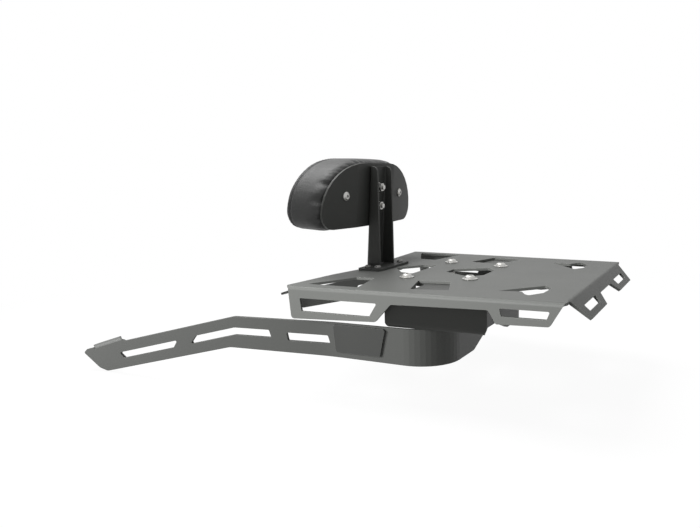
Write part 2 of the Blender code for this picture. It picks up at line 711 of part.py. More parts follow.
def make_arm(side_name, mirror):
    route, start = arm_route()
    u0 = crease_length(route)
    corners, first, last, rise, across, hole = arm_blank(u0)
    holes = [
        arm_slot(u0, REAR_SLOT_REAR, REAR_SLOT_FRONT, REAR_SLOT_TOP, REAR_SLOT_BOTTOM,
                 REAR_SLOT_REAR_LEAN, REAR_SLOT_FRONT_LEAN),
        arm_slot(u0, MID_SLOT_REAR, MID_SLOT_FRONT, MID_SLOT_TOP, MID_SLOT_BOTTOM,
                 MID_SLOT_REAR_LEAN, MID_SLOT_FRONT_LEAN),
        arm_slot(u0, FRONT_SLOT_REAR, FRONT_SLOT_FRONT, FRONT_SLOT_TOP, FRONT_SLOT_BOTTOM,
                 FRONT_SLOT_REAR_LEAN, FRONT_SLOT_FRONT_LEAN),
        circle(hole.x, hole.y, TAB_HOLE),
    ]
    bm = blank(rounded(corners), holes)
    reach = 0.0
    marks = []
    for length, turn, radius in route[:4]:
        steps = bend_steps(turn) * 3 if turn else 1
        marks += [reach + length * k / steps for k in range(steps)]
        reach += length
    marks.append(reach)
    score(bm, Vector((0, 0, 0)), Vector((1, 0, 0)), marks[1:])
    tab_line = Vector((*first, 0.0))
    upward = Vector((*rise, 0.0))
    score(bm, tab_line, upward, bend_marks(TAB_BEND, math.pi / 2))
    thicken(bm, ARM_SHEET)

    def on_tab(co):
        """Past the root and behind the tab's swept front edge, so the nose stays flat."""
        return co.x > first.x - SEAT and across.cross(co.xy - last) > -SEAT * SEAT

    fold(bm, tab_line, upward, TAB_BEND, math.pi / 2, on_tab)
    for vert in bm.verts:
        place = along_route(route, start, vert.co.x, -vert.co.z)
        vert.co = Vector((place.x, place.y, vert.co.y))
    return to_object(bm, side_name + "_arm", powder_coat(side_name + "_arm"), mirror=mirror)


def make_badge_plate(side_name, mirror):
    route, start = arm_route()
    u0 = crease_length(route)
    top = ARM_TOP_Z - BADGE_TOP
    base = top - BADGE_HEIGHT
    corners = [
        (u0 + BADGE_REAR, top, BADGE_CORNER),
        (u0 + BADGE_FRONT, top, BADGE_CORNER),
        (u0 + BADGE_FRONT - BADGE_SLANT_FRONT, base, BADGE_CORNER),
        (u0 + BADGE_REAR + BADGE_SLANT_REAR, base, BADGE_CORNER),
    ]
    bm = blank(rounded(corners), [])
    steps = bend_steps(ARM_SPLAY - TAPER) * 3
    bend_start = u0 - crease_reach()
    marks = [2 * crease_reach() * k / steps for k in range(steps)]
    score(bm, Vector((bend_start, 0, 0)), Vector((1, 0, 0)), marks)
    thicken(bm, BADGE_SHEET)
    # The plate lies on the arm's outer face and follows the start of its bend
    for vert in bm.verts:
        place = along_route(route, start, vert.co.x, -SEAT - BADGE_SHEET - vert.co.z)
        vert.co = Vector((place.x, place.y, vert.co.y))
    return to_object(bm, side_name + "_badge_plate", powder_coat(side_name + "_badge_plate"), mirror=mirror)


def make_post_foot():
    corners = [
        (-FOOT_HALF, FOOT_REAR_Y, FOOT_CORNER),
        (FOOT_HALF, FOOT_REAR_Y, FOOT_CORNER),
        (FOOT_HALF, FOOT_FRONT_Y, FOOT_CORNER),
        (-FOOT_HALF, FOOT_FRONT_Y, FOOT_CORNER),
    ]
    bm = blank(rounded(corners), [circle(x, y, FOOT_HOLE) for x, y in foot_bolt_places()])
    thicken(bm, FOOT_SHEET)
    return to_object(bm, "post_foot", powder_coat("post_foot"), Matrix.Translation((0, 0, SEAT + FOOT_SHEET)))


def post_base_z():
    return 2 * SEAT + FOOT_SHEET


def post_lean():
    return math.atan2(POST_FOOT_FRONT_Y - POST_TOP_FRONT_Y, POST_TOP_Z - post_base_z())


def lean_frame():
    """Frame on the front face of the post: X across, Y up the post, Z forward, origin at its base."""
    lean = post_lean()
    stand = Matrix(((-1, 0, 0, 0), (0, 0, 1, 0), (0, 1, 0, 0), (0, 0, 0, 1)))
    base = Matrix.Translation((0.0, POST_FOOT_FRONT_Y, post_base_z()))
    return base @ Matrix.Rotation(lean, 4, "X") @ stand


def up_post(z):
    """Distance up the leaning front face to a point at height z."""
    return (z - post_base_z()) / math.cos(post_lean())


def make_backrest_post():
    lean = post_lean()
    depth = POST_FOOT_FRONT_Y - POST_REAR_Y
    flat = POST_HALF - POST_BEND
    height = up_post(POST_TOP_Z)
    bottom_depth = depth / math.cos(lean)
    top_depth = (depth - height * math.sin(lean)) / math.cos(lean)
    rear_lift = bottom_depth * math.sin(lean) / math.cos(lean)
    half = [
        (flat, 0.0, 0.0),
        (flat + flat_reach(bottom_depth, POST_BEND), rear_lift, 0.0),
        (flat + flat_reach(top_depth, POST_BEND), height, POST_TOP_ROUND),
    ]
    holes = [circle(0.0, up_post(z), BRACKET_HOLE) for z in (BRACKET_BOLT_LOW_Z, BRACKET_BOLT_HIGH_Z)]
    bm = blank(rounded(half + mirrored(half)), holes)
    marks = bend_marks(POST_BEND, math.pi / 2)
    lines = [(Vector((side * flat, 0, 0)), Vector((side, 0, 0))) for side in (-1, 1)]
    for origin, outward in lines:
        score(bm, origin, outward, marks)
    thicken(bm, POST_SHEET)
    for origin, outward in lines:
        fold(bm, origin, outward, POST_BEND, math.pi / 2)
    return to_object(bm, "backrest_post", powder_coat("backrest_post"), lean_frame())


def rest_outline(half, bottom, widest, top, bottom_flat, top_flat, steps=7):
    """Rounded outline of the backrest: flat bottom, elliptical corners and a long sloping shoulder."""
    right = []
    for k in range(steps + 1):
        a = math.pi / 2 * k / steps
        right.append(Vector((bottom_flat + (half - bottom_flat) * math.sin(a),
                             widest - (widest - bottom) * math.cos(a))))
    for k in range(1, steps + 3):
        a = math.pi / 2 * k / (steps + 2)
        right.append(Vector((top_flat + (half - top_flat) * math.cos(a),
                             widest + (top - widest) * math.sin(a))))
    return right + [Vector((-p.x, p.y)) for p in reversed(right)]


def wing_lines():
    return [(Vector((side * BACK_WING_X, 0, 0)), Vector((side, 0, 0))) for side in (-1, 1)]


def make_back_plate():
    outline = rest_outline(BACK_HALF, up_post(BACK_BOTTOM_Z), up_post(BACK_WIDEST_Z), up_post(BACK_TOP_Z),
                           BACK_BOTTOM_FLAT, BACK_TOP_FLAT)
    holes = [circle(0.0, up_post(z), BRACKET_HOLE) for z in (BRACKET_BOLT_LOW_Z, BRACKET_BOLT_HIGH_Z)]
    holes += [circle(side * PAD_SCREW_X, up_post(PAD_SCREW_Z), BRACKET_HOLE) for side in (-1, 1)]
    bm = blank(outline, holes)
    for origin, outward in wing_lines():
        score(bm, origin, outward, bend_marks(BACK_BEND, BACK_WING))
    thicken(bm, BACK_SHEET)
    for origin, outward in wing_lines():
        fold(bm, origin, outward, BACK_BEND, BACK_WING)
    # The drawn face is the rear one, so the sheet and its wings lie ahead of it
    flip = Matrix.Rotation(math.pi, 4, "Y")
    seat = Matrix.Translation((0.0, 0.0, SEAT))
    return to_object(bm, "back_plate", powder_coat("back_plate"), lean_frame() @ seat @ flip)


def wing_place(x):
    """Forward shift of the back plate's rear face at distance x from the centre, and its slope."""
    past = abs(x) - BACK_WING_X
    if past <= 0:
        return 0.0, 0.0
    return past * math.tan(BACK_WING), math.copysign(BACK_WING, x)


def make_backrest_pad():
    half = BACK_HALF + PAD_OVERHANG
    bottom = up_post(BACK_BOTTOM_Z - PAD_BOTTOM_DROP)
    top = up_post(BACK_TOP_Z + PAD_TOP_RISE)
    widest = up_post(BACK_WIDEST_Z)
    back = 2 * SEAT + BACK_SHEET

    def ring(inset, forward, bow):
        outline = rest_outline(half - inset, bottom + inset, widest, top - inset,
                               BACK_BOTTOM_FLAT - inset * 2, BACK_TOP_FLAT)
        points = []
        for p in outline:
            crown = PAD_CROWN * (1 - (p.x / half) ** 2) * bow
            points.append(bm.verts.new((p.x, p.y, back + wing_place(p.x)[0] + forward + crown)))
        return points

    bm = bmesh.new()
    edge = PAD_EDGE
    rings = [
        ring(edge * 1.5, 0.0, 0.0),
        ring(edge * 0.4, edge * 0.4, 0.0),
        ring(0.0, edge * 1.5, 0.0),
        ring(0.0, PAD_DEPTH - edge * 1.5, 0.3),
        ring(edge * 0.5, PAD_DEPTH - edge * 0.4, 0.6),
        ring(edge * 2.0, PAD_DEPTH + edge * 0.2, 1.0),
    ]
    for lower, upper in zip(rings, rings[1:]):
        count = len(lower)
        for i in range(count):
            j = (i + 1) % count
            bm.faces.new((lower[i], lower[j], upper[j], upper[i]))
    for cap in (rings[0], rings[-1]):
        count = len(cap)
        for i in range(count // 2 - 1):
            bm.faces.new((cap[i], cap[i + 1], cap[count - 2 - i], cap[count - 1 - i]))
    bmesh.ops.triangulate(bm, faces=bm.faces[:])
    bmesh.ops.recalc_face_normals(bm, faces=bm.faces)
    frame = lean_frame()
    pad = to_object(bm, "backrest_pad", vinyl("backrest_pad"), frame)
    # Pockets in the back for the bracket bolt heads and the pad screws
    pockets = []
    for z in (BRACKET_BOLT_LOW_Z, BRACKET_BOLT_HIGH_Z):
        spot = Matrix.Translation((0.0, up_post(z), 0.0))
        pockets.append((BRACKET_HEAD + 2 * SEAT, back + BRACKET_HEAD_T + 2 * SEAT, spot))
    for side in (-1, 1):
        shift, slope = wing_place(side * PAD_SCREW_X)
        spot = Matrix.Translation((side * PAD_SCREW_X, up_post(PAD_SCREW_Z), shift))
        spot = spot @ Matrix.Rotation(-slope, 4, "Y")
        pockets.append((BRACKET_SHANK + SEAT, back + PAD_SCREW_REACH + 2 * SEAT, spot))
    for index, (radius, depth, spot) in enumerate(pockets):
        drill = revolve([(0.0, -0.02), (radius, -0.02), (radius, depth), (0.0, depth)])
        cutter = to_object(drill, "pad_pocket_%d" % index, pad.data.materials[0], frame @ spot)
        cutter.hide_render = True
        cutter.display_type = "WIRE"
        cut = pad.modifiers.new("pocket_%d" % index, "BOOLEAN")
        cut.operation = "DIFFERENCE"
        cut.object = cutter
    return pad


def revolve(profile, steps=ROUND_STEPS):
    """Closed turned body from (radius, height) points that start and end on the axis."""
    bm = bmesh.new()
    rings = []
    for radius, height in profile:
        if radius == 0.0:
            rings.append([bm.verts.new((0.0, 0.0, height))])
            continue
        turns = [math.tau * k / steps for k in range(steps)]
        rings.append([bm.verts.new((radius * math.cos(a), radius * math.sin(a), height)) for a in turns])
    for lower, upper in zip(rings, rings[1:]):
        for k in range(steps):
            n = (k + 1) % steps
            if len(lower) == 1:
                bm.faces.new((lower[0], upper[n], upper[k]))
            elif len(upper) == 1:
                bm.faces.new((lower[k], lower[n], upper[0]))
            else:
                bm.faces.new((lower[k], lower[n], upper[n], upper[k]))
    return bm


def ring_body(profile, steps=ROUND_STEPS):
    """Closed turned ring from (radius, height) points that never touch the axis."""
    bm = bmesh.new()
    turns = [math.tau * k / steps for k in range(steps)]
    rings = [[bm.verts.new((r * math.cos(a), r * math.sin(a), z)) for a in turns] for r, z in profile]
    for lower, upper in zip(rings, rings[1:] + rings[:1]):
        for k in range(steps):
            n = (k + 1) % steps
            bm.faces.new((lower[k], lower[n], upper[n], upper[k]))
    return bm


def hex_ring(flats, bore, low, high):
    """Closed hexagonal nut body with a round bore."""
    corner = flats / math.cos(math.pi / 6)
    bm = bmesh.new()
    steps = 24
    rings = []
    for z, edge in ((low, 0.0), (high, 0.0)):
        outer = []
        inner = []
        for k in range(steps):
            a = math.tau * k / steps
            sector = (a % (math.pi / 3)) - math.pi / 6
            reach = flats / math.cos(sector)
            outer.append(bm.verts.new((min(reach, corner) * math.cos(a), min(reach, corner) * math.sin(a), z)))
            inner.append(bm.verts.new((bore * math.cos(a), bore * math.sin(a), z)))
        rings.append((outer, inner))
    (low_out, low_in), (high_out, high_in) = rings
    for k in range(steps):
        n = (k + 1) % steps
        bm.faces.new((low_out[k], low_out[n], high_out[n], high_out[k]))
        bm.faces.new((low_in[n], low_in[k], high_in[k], high_in[n]))
        bm.faces.new((low_out[n], low_out[k], low_in[k], low_in[n]))
        bm.faces.new((high_out[k], high_out[n], high_in[n], high_in[k]))
    return bm


def socket_head(profile, shank, length, socket, depth):
    """Button-head screw along +Z with a hexagon socket; the underside of the head is at 0."""
    bm = bmesh.new()
    steps = 24
    top = profile[-1][1]
    sections = [(shank, -length), (shank, 0.0)] + profile
    rings = []
    for radius, z in sections:
        ring = []
        for k in range(steps):
            a = math.tau * k / steps
            ring.append(bm.verts.new((radius * math.cos(a), radius * math.sin(a), z)))
        rings.append(ring)
    for z in (top, top - depth):
        ring = []
        for k in range(steps):
            a = math.tau * k / steps
            sector = (a % (math.pi / 3)) - math.pi / 6
            reach = socket / math.cos(sector)
            ring.append(bm.verts.new((reach * math.cos(a), reach * math.sin(a), z)))
        rings.append(ring)
    for lower, upper in zip(rings, rings[1:]):
        for k in range(steps):
            n = (k + 1) % steps
            bm.faces.new((lower[k], lower[n], upper[n], upper[k]))
    bm.faces.new(list(reversed(rings[0])))
    bm.faces.new(rings[-1])
    return bm


def make_plate_fasteners():
    names = ("front_left", "front_right", "rear_left", "rear_right")
    under = PLATE_SHEET + RISER_SHEET + 2 * SEAT
    length = SEAT + under + PLATE_NUT_HEIGHT + BOLT_PAST_NUT
    head = [
        (PLATE_BOLT_FLANGE, 0.0),
        (PLATE_BOLT_FLANGE, PLATE_BOLT_FLANGE_T * 0.7),
        (PLATE_BOLT_CROWN, PLATE_BOLT_FLANGE_T),
        (PLATE_BOLT_CROWN * 0.88, PLATE_BOLT_HEAD * 0.7),
        (PLATE_BOLT_CROWN * 0.62, PLATE_BOLT_HEAD),
    ]
    for name, (x, y) in zip(names, plate_bolt_places()):
        bolt = socket_head(head, PLATE_BOLT_SHANK, length, PLATE_BOLT_SOCKET, PLATE_BOLT_SOCKET_DEPTH)
        to_object(bolt, name + "_plate_bolt", zinc(name + "_bolt"), Matrix.Translation((x, y, SEAT)))
        seat = -under - SEAT
        nut = hex_ring(PLATE_NUT_FLATS, PLATE_BOLT_SHANK + SEAT, seat - PLATE_NUT_HEIGHT, seat)
        to_object(nut, name + "_plate_nut", zinc(name + "_nut"), Matrix.Translation((x, y, 0.0)))


def make_foot_fasteners():
    names = ("front_left", "front_right", "rear_left", "rear_right")
    base = FOOT_SHEET + 2 * SEAT
    length = base + PLATE_SHEET + SEAT + FOOT_NUT_HEIGHT + 0.001
    head = [
        (FOOT_BOLT_HEAD, 0.0),
        (FOOT_BOLT_HEAD, FOOT_BOLT_HEAD_T * 0.4),
        (FOOT_BOLT_HEAD * 0.6, FOOT_BOLT_HEAD_T),
    ]
    for name, (x, y) in zip(names, foot_bolt_places()):
        bolt = socket_head(head, FOOT_SHANK, length, FOOT_BOLT_HEAD * 0.33, FOOT_BOLT_HEAD_T * 0.6)
        to_object(bolt, name + "_foot_bolt", zinc(name + "_foot_bolt"), Matrix.Translation((x, y, base)))
        seat = -PLATE_SHEET - SEAT
        nut = hex_ring(FOOT_NUT_FLATS, FOOT_SHANK + SEAT, seat - FOOT_NUT_HEIGHT, seat)
        to_object(nut, name + "_foot_nut", zinc(name + "_foot_nut"), Matrix.Translation((x, y, 0.0)))


def make_backrest_fasteners():
    frame = lean_frame()
    rear = -POST_SHEET - SEAT
    grip = SEAT + BACK_SHEET + SEAT
    behind = POST_SHEET + SEAT + BRACKET_WASHER_T + SEAT + BRACKET_NUT_HEIGHT + 0.0025
    for name, z in (("lower", BRACKET_BOLT_LOW_Z), ("upper", BRACKET_BOLT_HIGH_Z)):
        spot = frame @ Matrix.Translation((0.0, up_post(z), 0.0))
        bolt = revolve([
            (0.0, -behind), (BRACKET_SHANK, -behind), (BRACKET_SHANK, grip), (BRACKET_HEAD, grip),
            (BRACKET_HEAD * 0.75, grip + BRACKET_HEAD_T), (0.0, grip + BRACKET_HEAD_T),
        ])
        to_object(bolt, name + "_bracket_bolt", zinc(name + "_bracket_bolt"), spot)
        washer = ring_body([
            (BRACKET_SHANK + SEAT, rear), (BRACKET_WASHER, rear),
            (BRACKET_WASHER, rear - BRACKET_WASHER_T), (BRACKET_SHANK + SEAT, rear - BRACKET_WASHER_T),
        ])
        to_object(washer, name + "_bracket_washer", zinc(name + "_bracket_washer"), spot)
        seat = rear - BRACKET_WASHER_T - SEAT
        nut = hex_ring(BRACKET_NUT_FLATS, BRACKET_SHANK + SEAT, seat - BRACKET_NUT_HEIGHT, seat)
        to_object(nut, name + "_bracket_nut", zinc(name + "_bracket_nut"), spot)
    head = [
        (PAD_SCREW_HEAD, 0.0),
        (PAD_SCREW_HEAD, PAD_SCREW_HEAD_T * 0.35),
        (PAD_SCREW_HEAD * 0.6, PAD_SCREW_HEAD_T),
    ]
    length = SEAT + BACK_SHEET + SEAT + PAD_SCREW_REACH
    for side, name in ((1, "left"), (-1, "right")):
        shift, slope = wing_place(side * PAD_SCREW_X)
        spot = frame @ Matrix.Translation((side * PAD_SCREW_X, up_post(PAD_SCREW_Z), shift))
        spot = spot @ Matrix.Rotation(-slope, 4, "Y") @ Matrix.Rotation(math.pi, 4, "X")
        screw = socket_head(head, BRACKET_SHANK, length, PAD_SCREW_HEAD * 0.33, PAD_SCREW_HEAD_T * 0.6)
        to_object(screw, name + "_pad_screw", zinc(name + "_pad_screw"), spot)


def main():
    clear_scene()
    make_rack_plate()
    for side_name, mirror in (("left", True), ("right", False)):
        make_riser(side_name, mirror)
        make_arm(side_name, mirror)
        make_badge_plate(side_name, mirror)
    make_post_foot()
    make_backrest_post()
    make_back_plate()
    make_backrest_pad()
    make_plate_fasteners()
    make_foot_fasteners()
    make_backrest_fasteners()


main()
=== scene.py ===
import json
import math
import random

import bmesh
import bpy
from mathutils import Matrix, Vector
from mathutils.bvhtree import BVHTree


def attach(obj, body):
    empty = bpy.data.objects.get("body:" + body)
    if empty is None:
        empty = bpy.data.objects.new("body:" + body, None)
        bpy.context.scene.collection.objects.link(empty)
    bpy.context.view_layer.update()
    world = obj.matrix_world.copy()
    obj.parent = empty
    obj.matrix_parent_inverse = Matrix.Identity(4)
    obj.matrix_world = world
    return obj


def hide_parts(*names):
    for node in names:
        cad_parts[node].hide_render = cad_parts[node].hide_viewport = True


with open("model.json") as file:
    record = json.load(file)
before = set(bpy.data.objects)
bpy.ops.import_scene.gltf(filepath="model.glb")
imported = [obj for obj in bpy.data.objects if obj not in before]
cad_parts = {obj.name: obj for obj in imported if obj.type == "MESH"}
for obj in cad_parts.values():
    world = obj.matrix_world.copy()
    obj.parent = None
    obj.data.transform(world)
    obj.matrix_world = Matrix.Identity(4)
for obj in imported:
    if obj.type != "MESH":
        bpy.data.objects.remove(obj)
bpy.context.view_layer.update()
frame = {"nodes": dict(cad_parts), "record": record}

nodes = frame["nodes"]
scene = bpy.context.scene
scene.view_settings.view_transform = "Standard"


# camera, fitted to the plate's bolt heads, flange corners and the arm's tip

cameraSet = {
    "place": Vector((-0.7053, -0.3327, 0.1184)),
    "azimuth": math.radians(-57.011),
    "elevation": math.radians(7.935),
    "roll": math.radians(-1.946),
    "focal": 600 / 700,
}


def makeCamera():
    a, e, r = cameraSet["azimuth"], cameraSet["elevation"], cameraSet["roll"]
    back = Vector((math.sin(a) * math.cos(e), -math.cos(a) * math.cos(e), math.sin(e)))
    level = Vector((0, 0, 1)).cross(back).normalized()
    rise = back.cross(level)
    right = level * math.cos(r) + rise * math.sin(r)
    up = rise * math.cos(r) - level * math.sin(r)
    data = bpy.data.cameras.new("camera")
    data.sensor_width = 36
    data.lens = 36 * cameraSet["focal"]
    data.clip_start = 0.01
    camera = bpy.data.objects.new("camera", data)
    scene.collection.objects.link(camera)
    turn = Matrix((right, up, back)).transposed().to_4x4()
    camera.matrix_world = Matrix.Translation(cameraSet["place"]) @ turn
    scene.camera = camera


makeCamera()
print("camera done")


# shader node groups shared by the finishes

def newGroup(name, inputs, outputs):
    group = bpy.data.node_groups.new(name, "ShaderNodeTree")
    for label, kind, value in inputs:
        socket = group.interface.new_socket(label, in_out="INPUT", socket_type="NodeSocket" + kind)
        socket.default_value = value
    for label, kind in outputs:
        group.interface.new_socket(label, in_out="OUTPUT", socket_type="NodeSocket" + kind)
    return group, group.nodes.new("NodeGroupInput"), group.nodes.new("NodeGroupOutput")


def feed(tree, value, socket):
    if isinstance(value, bpy.types.NodeSocket):
        tree.links.new(value, socket)
    else:
        socket.default_value = value


def objectCoords(tree):
    return tree.nodes.new("ShaderNodeTexCoord").outputs["Object"]


def noiseNode(tree, coords, scale, detail):
    node = tree.nodes.new("ShaderNodeTexNoise")
    node.inputs["Detail"].default_value = detail
    feed(tree, scale, node.inputs["Scale"])
    tree.links.new(coords, node.inputs["Vector"])
    return node


def mathNode(tree, operation, first, second):
    node = tree.nodes.new("ShaderNodeMath")
    node.operation = operation
    feed(tree, first, node.inputs[0])
    feed(tree, second, node.inputs[1])
    return node.outputs[0]


def rangeNode(tree, value, low, high, toLow, toHigh):
    node = tree.nodes.new("ShaderNodeMapRange")
    tree.links.new(value, node.inputs["Value"])
    for label, end in (("From Min", low), ("From Max", high), ("To Min", toLow), ("To Max", toHigh)):
        feed(tree, end, node.inputs[label])
    return node.outputs["Result"]


def mixColours(tree, factor, first, second):
    node = tree.nodes.new("ShaderNodeMix")
    node.data_type = "RGBA"
    tree.links.new(factor, node.inputs["Factor"])
    feed(tree, first, node.inputs["A"])
    feed(tree, second, node.inputs["B"])
    return node.outputs["Result"]


spraySet = {
    "driftScale": 14.0,
    "fleckScale": 2600.0,
    "fleckFrom": 0.56,
    "fleckTo": 0.72,
    "fineRoughness": 0.08,
}


def makeSprayGroup():
    # baked-on powder: fine pebbled skin, slow drift in gloss, tiny lighter flecks
    s = spraySet
    tree, start, end = newGroup("sprayedSkin", [
        ("Colour", "Color", (0.05, 0.05, 0.05, 1)),
        ("Fleck Colour", "Color", (0.1, 0.1, 0.1, 1)),
        ("Pebble Scale", "Float", 1100.0),
        ("Fleck Share", "Float", 0.35),
        ("Roughness", "Float", 0.4),
        ("Roughness Drift", "Float", 0.06),
    ], [("Colour", "Color"), ("Roughness", "Float"), ("Height", "Float")])
    coords = objectCoords(tree)
    pebbles = noiseNode(tree, coords, start.outputs["Pebble Scale"], 3.0).outputs["Fac"]
    drift = noiseNode(tree, coords, s["driftScale"], 3.0).outputs["Fac"]
    flecks = noiseNode(tree, coords, s["fleckScale"], 1.0).outputs["Fac"]
    fleckMask = rangeNode(tree, flecks, s["fleckFrom"], s["fleckTo"], 0.0, start.outputs["Fleck Share"])
    skin = mixColours(tree, fleckMask, start.outputs["Colour"], start.outputs["Fleck Colour"])
    around = mathNode(tree, "SUBTRACT", drift, 0.5)
    swing = mathNode(tree, "MULTIPLY", start.outputs["Roughness Drift"], around)
    fine = mathNode(tree, "MULTIPLY", pebbles, s["fineRoughness"])
    rough = mathNode(tree, "ADD", start.outputs["Roughness"], mathNode(tree, "ADD", swing, fine))
    tree.links.new(skin, end.inputs["Colour"])
    tree.links.new(rough, end.inputs["Roughness"])
    tree.links.new(pebbles, end.inputs["Height"])
    return tree


edgeSet = {
    "samples": 6,
    "flatFrom": 0.995,
    "cornerAt": 0.88,
    "patchScale": 160.0,
}


def makeEdgeGroup():
    # cut edges: a rounded normal, and a mask along the rounding where a lighter colour is laid on as a
    # painted highlight
    s = edgeSet
    tree, start, end = newGroup("softEdge", [
        ("Width", "Float", 0.0005),
        ("Unevenness", "Float", 0.5),
    ], [("Mask", "Float"), ("Normal", "Vector")])
    bevel = tree.nodes.new("ShaderNodeBevel")
    bevel.samples = s["samples"]
    tree.links.new(start.outputs["Width"], bevel.inputs["Radius"])
    flat = tree.nodes.new("ShaderNodeNewGeometry").outputs["Normal"]
    facing = tree.nodes.new("ShaderNodeVectorMath")
    facing.operation = "DOT_PRODUCT"
    tree.links.new(bevel.outputs["Normal"], facing.inputs[0])
    tree.links.new(flat, facing.inputs[1])
    # painted highlight: the mask follows where the rounded normal leaves the flat one, broken up by patches
    roundingHighlight = rangeNode(tree, facing.outputs["Value"], s["flatFrom"], s["cornerAt"], 0.0, 1.0)
    patches = noiseNode(tree, objectCoords(tree), s["patchScale"], 3.0).outputs["Fac"]
    uneven = mathNode(tree, "MULTIPLY", patches, start.outputs["Unevenness"])
    highlightMask = mathNode(tree, "SUBTRACT", roundingHighlight, mathNode(tree, "MULTIPLY", roundingHighlight, uneven))
    tree.links.new(highlightMask, end.inputs["Mask"])
    tree.links.new(bevel.outputs["Normal"], end.inputs["Normal"])
    return tree


grainSet = {
    "wobbleScale": 300.0,
    "wobble": 0.0012,
    "creaseWidth": 0.12,
    "domeWidth": 0.3,
    "cloudScale": 22.0,
}


def makePebbleGroup():
    # embossed vinyl: small raised pebbles between fine creases, which are darkened as painted shade, and slow
    # waves in the gloss
    s = grainSet
    tree, start, end = newGroup("vinylGrain", [
        ("Grain Scale", "Float", 900.0),
        ("Crease Share", "Float", 0.6),
    ], [("Height", "Float"), ("Crease Shade", "Float"), ("Cloud", "Float")])
    coords = objectCoords(tree)
    wobble = noiseNode(tree, coords, s["wobbleScale"], 2.0)
    shift = tree.nodes.new("ShaderNodeVectorMath")
    shift.operation = "MULTIPLY_ADD"
    tree.links.new(wobble.outputs["Color"], shift.inputs[0])
    shift.inputs[1].default_value = (s["wobble"],) * 3
    tree.links.new(coords, shift.inputs[2])
    cells = tree.nodes.new("ShaderNodeTexVoronoi")
    cells.feature = "DISTANCE_TO_EDGE"
    tree.links.new(shift.outputs["Vector"], cells.inputs["Vector"])
    tree.links.new(start.outputs["Grain Scale"], cells.inputs["Scale"])
    fromEdge = cells.outputs["Distance"]
    # painted shade: mask that darkens the grain's creases
    crease = rangeNode(tree, fromEdge, 0.0, s["creaseWidth"], start.outputs["Crease Share"], 0.0)
    dome = rangeNode(tree, fromEdge, 0.0, s["domeWidth"], 0.0, 1.0)
    tree.links.new(dome, end.inputs["Height"])
    tree.links.new(crease, end.inputs["Crease Shade"])
    tree.links.new(noiseNode(tree, coords, s["cloudScale"], 2.0).outputs["Fac"], end.inputs["Cloud"])
    return tree


sprayGroup = makeSprayGroup()
edgeGroup = makeEdgeGroup()
pebbleGroup = makePebbleGroup()


# finishes

def newFinish(name):
    mat = bpy.data.materials.new(name)
    mat.use_nodes = True
    return mat, mat.node_tree, mat.node_tree.nodes["Principled BSDF"]


def placeGroup(tree, group, values):
    node = tree.nodes.new("ShaderNodeGroup")
    node.node_tree = group
    for label, value in values.items():
        node.inputs[label].default_value = value
    return node


def bumpFrom(tree, height, normal, strength, distance):
    bump = tree.nodes.new("ShaderNodeBump")
    bump.inputs["Strength"].default_value = strength
    bump.inputs["Distance"].default_value = distance
    tree.links.new(height, bump.inputs["Height"])
    if normal is not None:
        tree.links.new(normal, bump.inputs["Normal"])
    return bump.outputs["Normal"]


powderSet = {
    "colour": (0.084, 0.0865, 0.082, 1),
    "fleck": (0.13, 0.134, 0.128, 1),
    # lighter colour along rounded cut edges: a painted highlight
    "edge": (0.20, 0.205, 0.195, 1),
    "roughness": 0.48,
    "drift": 0.10,
    "specular": 0.24,
    "fleckShare": 0.35,
    "pebble": 1100.0,
    "bump": 0.22,
    "bumpDepth": 0.0004,
    "edgeWidth": 0.0006,
    "edgeUneven": 0.7,
    # darker copies of the one powder coat for the badge plate and the arms: painted shade, for the badge the
    # shadow under the plate's flange
    "badgeSmoother": 0.08,
    "badgePaintedShade": 0.55,
    "armSmoother": 0.04,
    "armPaintedShade": 0.92,
}


def shaded(colour, shade):
    return tuple(c * shade for c in colour[:3]) + (1,)


# a shade below one darkens the whole coat; the badge and arm copies use it as painted shade
def makePowder(name, smoother=0.0, shade=1.0):
    s = powderSet
    mat, tree, shader = newFinish(name)
    skin = placeGroup(tree, sprayGroup, {
        "Colour": shaded(s["colour"], shade),
        "Fleck Colour": shaded(s["fleck"], shade),
        "Pebble Scale": s["pebble"],
        "Fleck Share": s["fleckShare"],
        "Roughness": s["roughness"] - smoother,
        "Roughness Drift": s["drift"],
    })
    edge = placeGroup(tree, edgeGroup, {"Width": s["edgeWidth"], "Unevenness": s["edgeUneven"]})
    # painted highlight: the edge mask lightens the powder along cut edges
    colour = mixColours(tree, edge.outputs["Mask"], skin.outputs["Colour"], s["edge"])
    tree.links.new(colour, shader.inputs["Base Color"])
    tree.links.new(skin.outputs["Roughness"], shader.inputs["Roughness"])
    normal = bumpFrom(tree, skin.outputs["Height"], edge.outputs["Normal"], s["bump"], s["bumpDepth"])
    tree.links.new(normal, shader.inputs["Normal"])
    shader.inputs["Specular IOR Level"].default_value = s["specular"]
    return mat


zincSet = {
    "colour": (0.50, 0.50, 0.49, 1),
    "warm": (0.46, 0.445, 0.41, 1),
    # lighter colour along rounded edges: a painted highlight
    "edge": (0.66, 0.66, 0.65, 1),
    "smoothest": 0.41,
    "roughest": 0.56,
    "smearScale": 900.0,
    "bump": 0.04,
    "bumpDepth": 0.0001,
    "cloudScale": 240.0,
    "cloudShare": 0.8,
    "edgeWidth": 0.00025,
    "edgeUneven": 0.3,
    "footShade": 0.35,
}


